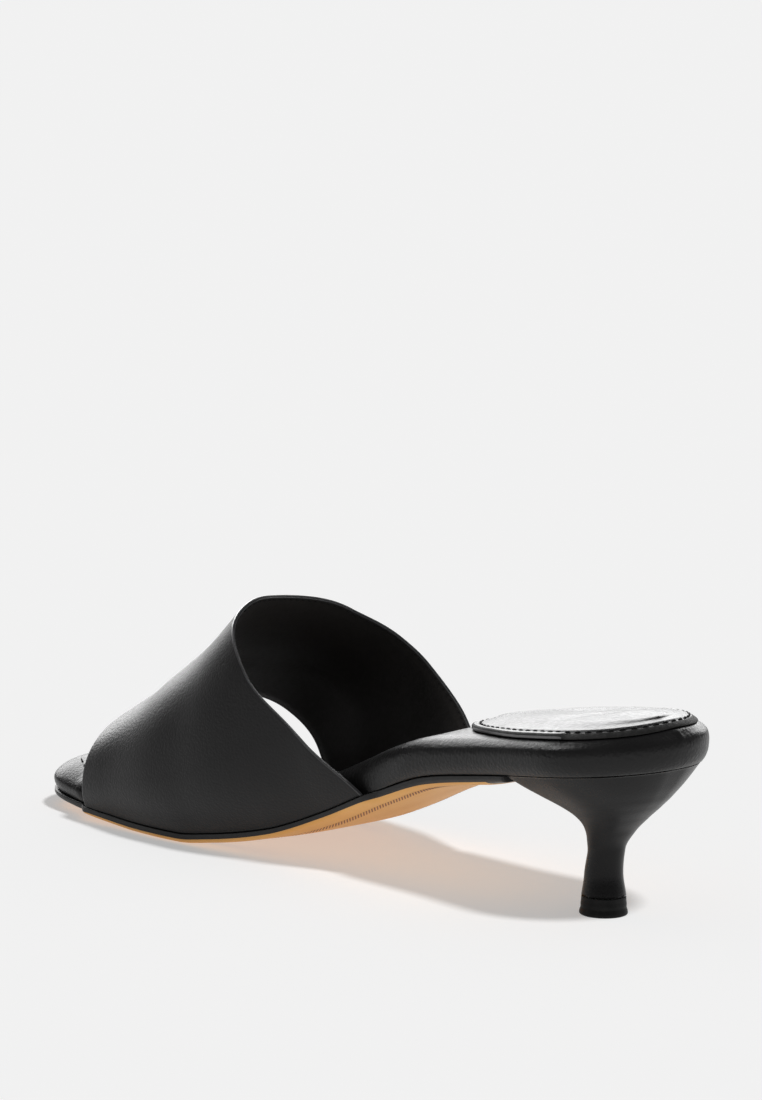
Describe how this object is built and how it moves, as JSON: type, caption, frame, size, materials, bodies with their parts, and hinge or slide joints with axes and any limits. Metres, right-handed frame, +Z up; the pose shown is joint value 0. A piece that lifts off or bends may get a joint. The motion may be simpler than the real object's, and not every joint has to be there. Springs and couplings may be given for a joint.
{
  "type": "kitten heel sandal",
  "caption": "Open-toed, open-backed kitten heel sandal for the right foot, with one wide vamp band over a padded footbed and a stitched heel pad.",
  "frame": {"origin": "on the floor under the middle of the shoe's bounding box", "axes": "+X to the toe, along the length; +Y to the inner side of the right foot; +Z up"},
  "size_m": [0.24, 0.075, 0.0727],
  "materials": {
    "sole": "tan sole sheet with a fine matt grain, edge inked black",
    "footbed_cover": "black pebble-grained cover with a soft gloss, wrapped over foam",
    "heel_pad_cover": "black creased sock with a silky gloss and a stitched border",
    "vamp_leather": "black smooth nappa with a fine grain and a soft satin sheen",
    "heel_cover": "black smooth cover stretched over the heel, satin",
    "top_piece_rubber": "black moulded rubber, matt"
  },
  "bodies": {
    "root": {"outsole": "sole", "footbed": "footbed_cover", "heel_pad": "heel_pad_cover", "vamp": "vamp_leather", "heel": "heel_cover", "top_piece": "top_piece_rubber"}
  },
  "joints": []
}
